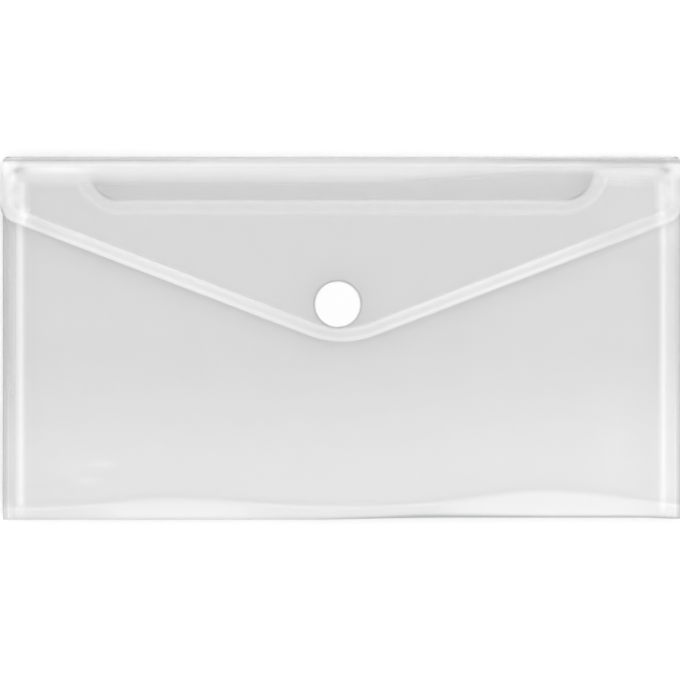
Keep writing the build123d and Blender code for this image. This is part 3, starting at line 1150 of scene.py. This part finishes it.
def make_gusset(side, outward):
    """One side gusset: a strip folded inward, with an edge welded to the back and one to the front."""
    flange = FLANGE_HIGH[0] - FLANGE_LOW[0]
    front_z = (FLANGE_LOW[2] + FLANGE_HIGH[2]) / 2
    rear_z = BACK_Z + FRONT_Z - front_z
    reach = GUSSET_HIGH[0] + HALF_WIDTH
    low = GUSSET_LOW[1]
    fine_end = low + GUSSET_FINE_REACH
    fine_rows = spread(low, fine_end, GUSSET_FINE_STEP)[:-1]
    rows = np.concatenate([fine_rows, spread(fine_end, GUSSET_TOP_Y, GUSSET_STEP)])
    shares = LOW_DEPTH_SHARE + (1 - LOW_DEPTH_SHARE) * ease(rows, low + TAPER_START, low + TAPER_END)
    depths = flange + (reach + FOLD_EXTRA - flange) * shares
    sections = np.array([gusset_section(flange, depth, front_z, rear_z) for depth in depths])
    inward = sections[..., 0]
    along = np.broadcast_to(rows[:, None], inward.shape)
    grid = np.stack([outward * (HALF_WIDTH - inward), along, sections[..., 1]], axis=-1)
    _, faces = lattice(np.arange(grid.shape[1]), np.arange(grid.shape[0]))
    deepest = inward.max(1, keepdims=True)
    # The inner fold gets a whitened crease with painted highlight, its upper end and cut edges painted shade
    top = ease(along, rows[-1] - 2.5, rows[-1] - 0.5)
    haze_and_highlight = ridge(inward, deepest, 0.8) * (1 - top)
    edges = GUSSET_EDGE_DARK * fade(inward, 0.2, 0.5)
    shade = np.maximum(ridge(inward, deepest, 2.0) * top, edges)
    marks = (haze_and_highlight.ravel(), shade.ravel())
    piece = film_piece(f"{side}_gusset", grid.reshape(-1, 3), faces, *marks, film="shaded_back_film")
    parts = ("rear_flange", "front_flange", "gusset_rear", "gusset_front")
    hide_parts(*(f"{side}_{part}" for part in parts))
    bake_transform(piece)


# Dot

# Roundings of the adhesive discs' edges and of the mat that the pile stands on
GLUE_ROUNDING = 0.05
MAT_ROUNDING = 0.08

# Shares of a hook's height that its bend's handles and its beak reach down
HOOK_BEND_SHARE = 1.35
HOOK_BEAK_SHARE = 0.55

# Share of its thickness along the row that a hook's stem has across it
HOOK_STEM_SHARE = 0.7

# Shares of the pile's height that its mat takes and that a loop's handles reach up
MAT_SHARE = 0.3
LOOP_BEND_SHARE = 1.25

# The loops' greatest tilt in radians, and the share of its full size that the smallest has
LOOP_TILT = 0.35
LOOP_LEAST_SHARE = 0.8

# Steps along a hook's and a loop's bend
HOOK_STEPS = 7
LOOP_STEPS = 8


def turned(name, centre, profile, material, count=72):
    """A round piece turned from a profile of (radius, height), its first and last points on the axis."""
    turn = np.linspace(0, 2 * pi, count, endpoint=False)
    rings = [
        np.stack([centre[0] + r * np.cos(turn), centre[1] + r * np.sin(turn), np.full(count, z)], axis=1)
        for r, z in profile[1:-1]
    ]
    ends = [(centre[0], centre[1], profile[0][1]), (centre[0], centre[1], profile[-1][1])]
    places = np.concatenate(rings + [np.array(ends)])
    bottom, top = len(places) - 2, len(places) - 1
    faces = []
    for i in range(count):
        ahead = (i + 1) % count
        faces.append((bottom, ahead, i))
        for ring in range(len(rings) - 1):
            low, high = ring * count, (ring + 1) * count
            faces.append((low + i, low + ahead, high + ahead, high + i))
        last = (len(rings) - 1) * count
        faces.append((last + i, last + ahead, top))
    piece = mesh_piece(name, places, faces, material)
    piece.data.polygons.foreach_set("use_smooth", [True] * len(piece.data.polygons))
    return piece


def disc_profile(radius, low, high, rounding):
    """Section of a disc with rounded edges, from the middle of its underside to the middle of its top."""
    lower = arc((radius - rounding, low + rounding), rounding, -pi / 2, 0, 5)
    upper = arc((radius - rounding, high - rounding), rounding, 0, pi / 2, 5)
    steps = np.array([0.25, 0.5, 0.75, 0.9]) * radius
    floor = [(r, low) for r in steps]
    roof = [(r, high) for r in steps[::-1]]
    return [(0, low), *floor, *map(tuple, lower), *map(tuple, upper), *roof, (0, high)]


def dot_disc(node, place, low, high, rounding, material):
    """A disc of the dot between two heights, named for its node."""
    profile = disc_profile(place.radius, low, high, rounding)
    return turned(f"{node}_disc", place.centre, profile, material)


def whole_disc(node, rounding, material):
    """A disc of the dot that is as high as its node."""
    place = DotPlace(node)
    return dot_disc(node, place, place.low[2], place.high[2], rounding, material)


def fit_disc(piece, node, body):
    """Puts a finished disc in the place of its node and on its body."""
    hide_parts(node)
    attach(piece, body)


def node_tree(name, whole, sizes):
    """An empty geometry tree with named inputs: a whole number, sizes and a place."""
    tree = bpy.data.node_groups.new(name, "GeometryNodeTree")
    kinds = {"Geometry": "Geometry", whole: "Int", "Place": "Vector"}
    kinds.update(dict.fromkeys(sizes, "Float"))
    for label, kind in kinds.items():
        tree.interface.new_socket(label, in_out="INPUT", socket_type=f"NodeSocket{kind}")
    tree.interface.new_socket("Geometry", in_out="OUTPUT", socket_type="NodeSocketGeometry")
    return tree, tree.nodes.new("NodeGroupInput").outputs


def run_tree(piece, tree, values):
    """Runs a geometry tree on a piece with its inputs set, and keeps the result as plain mesh."""
    modifier = piece.modifiers.new(tree.name, "NODES")
    modifier.node_group = tree
    for item in tree.interface.items_tree:
        if item.in_out == "INPUT" and item.name in values:
            modifier[item.identifier] = values[item.name]
    settle(piece)


def times(tree, value, factor):
    """A value or socket times another."""
    return maths(tree, "MULTIPLY", value, factor)


def vector(tree, **parts):
    """A vector from values or sockets for its X, Y and Z."""
    return add(tree, "ShaderNodeCombineXYZ", parts).outputs[0]


def bent_rod(tree, count, section, start, start_handle, end_handle, end):
    """A closed rod of a section along a bend, which its two ends and their handles give."""
    bend = add(tree, "GeometryNodeCurvePrimitiveBezierSegment", {
        "Resolution": count, "Start": start, "Start Handle": start_handle,
        "End Handle": end_handle, "End": end,
    }).outputs[0]
    return add(tree, "GeometryNodeCurveToMesh", {
        "Curve": bend, "Profile Curve": section, "Fill Caps": True,
    }).outputs[0]


def finish_tree(tree, given, copies, material):
    """Moves the tree's copies to their place, joins them to what it was given and makes them real."""
    placed = add(tree, "GeometryNodeTransform", {"Geometry": copies, "Translation": given["Place"]})
    join = tree.nodes.new("GeometryNodeJoinGeometry")
    for shape in (given["Geometry"], placed.outputs[0]):
        tree.links.new(shape, join.inputs[0])
    real = add(tree, "GeometryNodeRealizeInstances", {0: join.outputs[0]}).outputs[0]
    dressed = add(tree, "GeometryNodeSetMaterial", {"Geometry": real, "Material": material}).outputs[0]
    add(tree, "NodeGroupOutput", {0: dressed})
    return tree


def hook_tree(material):
    """Rows of small hooks on a round tape, every second row set over and turned about."""
    tree, given = node_tree("Hook rows", "Count", ("Pitch", "Radius", "Height", "Length", "Thickness"))
    side = times(tree, given["Pitch"], maths(tree, "SUBTRACT", given["Count"], 1))
    grid = add(tree, "GeometryNodeMeshGrid", {
        "Size X": side, "Size Y": side, "Vertices X": given["Count"], "Vertices Y": given["Count"],
    }).outputs[0]
    where = add(tree, "GeometryNodeInputPosition").outputs[0]
    y = add(tree, "ShaderNodeSeparateXYZ", {0: where}).outputs[1]
    row = maths(tree, "ROUND", maths(tree, "DIVIDE", y, given["Pitch"]))
    odd = maths(tree, "FLOORED_MODULO", row, 2)
    step = vector(tree, X=times(tree, times(tree, odd, given["Pitch"]), 0.5))
    points = add(tree, "GeometryNodeSetPosition", {"Geometry": grid, "Offset": step}).outputs[0]
    far = add(tree, "ShaderNodeVectorMath", {0: where}, operation="LENGTH").outputs["Value"]
    outside = maths(tree, "GREATER_THAN", far, given["Radius"])
    points = add(tree, "GeometryNodeDeleteGeometry", {"Geometry": points, "Selection": outside}).outputs[0]
    low = times(tree, given["Height"], -HOOK_BEND_SHARE)
    beak = times(tree, given["Height"], -HOOK_BEAK_SHARE)
    ahead = times(tree, given["Length"], 0.5)
    behind = times(tree, given["Length"], -0.5)
    section = add(tree, "GeometryNodeCurvePrimitiveQuadrilateral", {
        "Width": given["Thickness"], "Height": times(tree, given["Thickness"], HOOK_STEM_SHARE),
    }).outputs[0]
    hook = bent_rod(
        tree, HOOK_STEPS, section, vector(tree, X=behind), vector(tree, X=behind, Z=low),
        vector(tree, X=ahead, Z=low), vector(tree, X=ahead, Z=beak),
    )
    about = vector(tree, Z=times(tree, odd, pi))
    hooks = add(tree, "GeometryNodeInstanceOnPoints", {
        "Points": points, "Instance": hook, "Rotation": about,
    })
    return finish_tree(tree, given, hooks.outputs[0], material)


def loop_tree(material):
    """A napped pile: many small arched loops, scattered and turned about by a seed."""
    tree, given = node_tree("Loop pile", "Seed", ("Spacing", "Radius", "Height", "Width", "Yarn"))
    ground = add(tree, "GeometryNodeMeshCircle", {
        "Vertices": 48, "Radius": given["Radius"],
    }, fill_type="NGON").outputs[0]
    points = add(tree, "GeometryNodeDistributePointsOnFaces", {
        "Mesh": ground, "Distance Min": given["Spacing"], "Density Max": 2e7, "Seed": given["Seed"],
    }, distribute_method="POISSON").outputs[0]
    high = times(tree, given["Height"], LOOP_BEND_SHARE)
    section = add(tree, "GeometryNodeCurvePrimitiveCircle", {
        "Resolution": 4, "Radius": given["Yarn"],
    }).outputs[0]
    loop = bent_rod(
        tree, LOOP_STEPS, section, vector(tree, X=times(tree, given["Width"], -0.5)),
        vector(tree, X=given["Width"], Z=high), vector(tree, X=times(tree, given["Width"], -1), Z=high),
        vector(tree, X=times(tree, given["Width"], 0.5)),
    )
    turn = add(tree, "FunctionNodeRandomValue", {
        0: (-LOOP_TILT, -LOOP_TILT, 0), 1: (LOOP_TILT, LOOP_TILT, 2 * pi), "Seed": given["Seed"],
    }, data_type="FLOAT_VECTOR").outputs[0]
    size = add(tree, "FunctionNodeRandomValue", {
        2: LOOP_LEAST_SHARE, 3: 1.0, "Seed": given["Seed"],
    }, data_type="FLOAT").outputs[1]
    loops = add(tree, "GeometryNodeInstanceOnPoints", {
        "Points": points, "Instance": loop, "Rotation": turn, "Scale": size,
    })
    return finish_tree(tree, given, loops.outputs[0], material)


def make_hook_half(closure, finish):
    """The half under the flap: an adhesive disc and a tape with moulded hooks."""
    nylon = white_tape("hook_nylon", finish.dot_white)
    adhesive = whole_disc("hook_adhesive", GLUE_ROUNDING, white_tape("hook_glue", finish.dot_white))
    backing = DotPlace("loop_backing")
    place = DotPlace("hook_tape")
    root_z = place.high[2] - (backing.high[2] - backing.low[2])
    tape = dot_disc("hook_tape", place, root_z, place.high[2], closure.edge_rounding / MM, nylon)
    pitch = closure.hook_pitch
    run_tree(tape, hook_tree(nylon), {
        "Pitch": pitch,
        "Radius": place.radius * MM - pitch / 2,
        "Height": (root_z - place.low[2]) * MM,
        "Length": closure.hook_length,
        "Thickness": closure.hook_thickness,
        "Count": 2 * int(place.radius * MM / pitch) + 3,
        "Place": place.at(root_z),
    })
    fit_disc(adhesive, "hook_adhesive", "flap")
    fit_disc(tape, "hook_tape", "flap")


def make_loop_half(closure, finish):
    """The half on the front: an adhesive disc, a woven backing and a pile of loops."""
    layers = ("loop_glue", "loop_weave", "loop_yarn")
    glue, weave, yarn = (white_tape(layer, finish.dot_white) for layer in layers)
    adhesive = whole_disc("loop_adhesive", GLUE_ROUNDING, glue)
    backing = whole_disc("loop_backing", closure.edge_rounding / MM, weave)
    place = DotPlace("loop_pile")
    low, high = place.low[2], place.high[2]
    pile = dot_disc("loop_pile", place, low, low + MAT_SHARE * (high - low), MAT_ROUNDING, yarn)
    run_tree(pile, loop_tree(yarn), {
        "Spacing": closure.loop_spacing,
        "Radius": place.radius * MM - closure.loop_width / 2,
        "Height": (high - low) * MM,
        "Width": closure.loop_width,
        "Yarn": closure.loop_yarn,
        "Seed": closure.seed,
        "Place": place.at(low),
    })
    fit_disc(adhesive, "loop_adhesive", "front")
    fit_disc(backing, "loop_backing", "front")
    fit_disc(pile, "loop_pile", "front")


# Stage

# Softboxes: place in metres, width and height in metres, brightness where white is 1
LAMPS = {
    "north_box": ((0, 0.62, 0.86), 1.3, 0.34, 1.9),
    "south_box": ((0, -0.62, 0.86), 1.3, 0.5, 1.4),
    "west_box": ((-0.75, 0, 0.65), 0.9, 0.3, 1.4),
    "east_box": ((0.75, 0, 0.65), 0.9, 0.3, 2.0),
}

# Distances from the wallet's middle between which the floor's lift rises, and the camera's sight, in metres
GLOW_START = 0.35
GLOW_END = 1.6
SIGHT = 20


def seen_rays(tree):
    """1 where the stage is seen, straight, mirrored or through clear film, and 0 where it lights."""
    path = add(tree, "ShaderNodeLightPath").outputs
    seen = maths(tree, "MAXIMUM", path["Is Camera Ray"], path["Is Glossy Ray"])
    return maths(tree, "MAXIMUM", seen, path["Is Transmission Ray"])


def ramp(tree, value, start, end, low, high):
    """Goes from low to high while a value goes from start to end."""
    return add(tree, "ShaderNodeMapRange", {
        "Value": value, "From Min": start, "From Max": end, "To Min": low, "To Max": high,
    }).outputs[0]


def white_floor(stage):
    """A pale floor that takes the wallet's shadow and is lifted to white where it is seen."""
    material, tree, place = new_material("white_floor")
    white = stage.floor_white
    mottle = mix_colour(tree, noise(tree, place, 3, 2), opaque(white), opaque(white, 0.99))
    paint = add(tree, "ShaderNodeBsdfDiffuse", {"Color": mottle}).outputs[0]
    far = add(tree, "ShaderNodeVectorMath", {0: place}, operation="LENGTH").outputs["Value"]
    glow = ramp(tree, far, GLOW_START, GLOW_END, stage.floor_glow, stage.far_glow)
    lift = add(tree, "ShaderNodeEmission", {"Strength": times(tree, seen_rays(tree), glow)}).outputs[0]
    surface(tree, add(tree, "ShaderNodeAddShader", {0: paint, 1: lift}).outputs[0])
    return material


def make_sky(stage):
    """A plain sky, brighter towards the horizon, and white where it is seen."""
    world = bpy.data.worlds.new("studio_sky")
    world.use_nodes = True
    tree = world.node_tree
    tree.nodes.clear()
    way = add(tree, "ShaderNodeTexCoord").outputs["Generated"]
    height = add(tree, "ShaderNodeSeparateXYZ", {0: way}).outputs[2]
    level = ramp(tree, height, 0, 1, stage.sky_side, stage.sky_top)
    strength = maths(tree, "MAXIMUM", level, seen_rays(tree))
    sky = add(tree, "ShaderNodeBackground", {"Color": (1, 1, 1, 1), "Strength": strength}).outputs[0]
    add(tree, "ShaderNodeOutputWorld", {"Surface": sky})
    bpy.context.scene.world = world


def make_lamp(name, place, width, height, level):
    """One softbox that looks at the wallet."""
    lamp = bpy.data.lights.new(name, "AREA")
    lamp.shape = "RECTANGLE"
    lamp.size = width
    lamp.size_y = height
    lamp.energy = level * pi * width * height
    stand = bpy.data.objects.new(name, lamp)
    bpy.context.scene.collection.objects.link(stand)
    stand.location = place
    stand.rotation_mode = "QUATERNION"
    up = "X" if abs(place[0]) > abs(place[1]) else "Y"
    stand.rotation_quaternion = Vector(place).to_track_quat("Z", up)


def make_camera(stage):
    """A camera that looks straight down on the wallet, as the photograph does."""
    lens = bpy.data.cameras.new("camera")
    lens.lens = stage.lens
    lens.clip_end = SIGHT
    camera = bpy.data.objects.new("camera", lens)
    camera.location = (-stage.camera_shift, -stage.camera_shift, stage.camera_height)
    bpy.context.scene.collection.objects.link(camera)
    bpy.context.scene.camera = camera


def make_stage(stage):
    """Floor, sky, softboxes and camera."""
    half = stage.floor_size / MM / 2
    drop = -stage.floor_drop / MM
    spots = np.array([(-half, -half, drop), (half, -half, drop), (half, half, drop), (-half, half, drop)])
    mesh_piece("floor", spots, [(0, 1, 2, 3)], white_floor(stage))
    make_sky(stage)
    for name, values in LAMPS.items():
        make_lamp(name, *values)
    make_camera(stage)
    scene = bpy.context.scene
    scene.view_settings.view_transform = "Standard"
    scene.cycles.transparent_max_bounces = 64


class WALLET_OT_back(bpy.types.Operator):
    """Adds the back sheet"""
    bl_idname = "wallet.back"
    bl_label = "Back sheet"

    def execute(self, context):
        make_back()
        return {"FINISHED"}


class WALLET_OT_top_fold(bpy.types.Operator):
    """Adds the rounded fold between the back and the flap"""
    bl_idname = "wallet.top_fold"
    bl_label = "Top fold"

    def execute(self, context):
        make_top_fold()
        return {"FINISHED"}


class WALLET_OT_front(bpy.types.Operator):
    """Adds the front sheet with its cut-out and the bottom fold"""
    bl_idname = "wallet.front"
    bl_label = "Front sheet"

    def execute(self, context):
        make_front(context.scene.wallet_shape)
        return {"FINISHED"}


class WALLET_OT_gussets(bpy.types.Operator):
    """Adds the two folded side gussets"""
    bl_idname = "wallet.gussets"
    bl_label = "Gussets"

    def execute(self, context):
        for side, outward in (("left", -1), ("right", 1)):
            make_gusset(side, outward)
        return {"FINISHED"}


class WALLET_OT_flap(bpy.types.Operator):
    """Adds the pointed flap with its raised border"""
    bl_idname = "wallet.flap"
    bl_label = "Flap"

    def execute(self, context):
        make_flap(context.scene.wallet_shape)
        return {"FINISHED"}


class WALLET_OT_hook_half(bpy.types.Operator):
    """Adds the hook half of the dot under the flap"""
    bl_idname = "wallet.hook_half"
    bl_label = "Hook half"

    def execute(self, context):
        make_hook_half(context.scene.wallet_closure, context.scene.wallet_finish)
        return {"FINISHED"}


class WALLET_OT_loop_half(bpy.types.Operator):
    """Adds the loop half of the dot on the front"""
    bl_idname = "wallet.loop_half"
    bl_label = "Loop half"

    def execute(self, context):
        make_loop_half(context.scene.wallet_closure, context.scene.wallet_finish)
        return {"FINISHED"}


class WALLET_OT_stage(bpy.types.Operator):
    """Adds the floor, the light and the camera"""
    bl_idname = "wallet.stage"
    bl_label = "Stage"

    def execute(self, context):
        make_stage(context.scene.wallet_stage)
        return {"FINISHED"}


OPERATORS = (
    WALLET_OT_stage, WALLET_OT_back, WALLET_OT_top_fold, WALLET_OT_front, WALLET_OT_gussets, WALLET_OT_flap,
    WALLET_OT_hook_half, WALLET_OT_loop_half,
)


class VIEW3D_PT_wallet(bpy.types.Panel):
    """Lists the steps that build the wallet"""
    bl_label = "Clear document wallet"
    bl_space_type = "VIEW_3D"
    bl_region_type = "UI"
    bl_category = "Wallet"

    def draw(self, context):
        for operator in OPERATORS:
            self.layout.operator(operator.bl_idname)


GROUPS = {
    "wallet_shape": WalletShape,
    "wallet_closure": WalletClosure,
    "wallet_finish": WalletFinish,
    "wallet_stage": WalletStage,
}


def register():
    """Makes the settings, the operators and the panel known to Blender."""
    for kind in (*GROUPS.values(), *OPERATORS, VIEW3D_PT_wallet):
        bpy.utils.register_class(kind)
    for name, kind in GROUPS.items():
        setattr(bpy.types.Scene, name, PointerProperty(type=kind))


def unregister():
    """Takes them away again."""
    for name in GROUPS:
        delattr(bpy.types.Scene, name)
    for kind in (VIEW3D_PT_wallet, *reversed(OPERATORS), *reversed(GROUPS.values())):
        bpy.utils.unregister_class(kind)


def main():
    """Builds the wallet step by step."""
    register()
    bpy.ops.wallet.stage()
    bpy.ops.wallet.back()
    bpy.ops.wallet.top_fold()
    bpy.ops.wallet.front()
    bpy.ops.wallet.gussets()
    bpy.ops.wallet.flap()
    bpy.ops.wallet.hook_half()
    bpy.ops.wallet.loop_half()


if __name__ == "__main__":
    main()
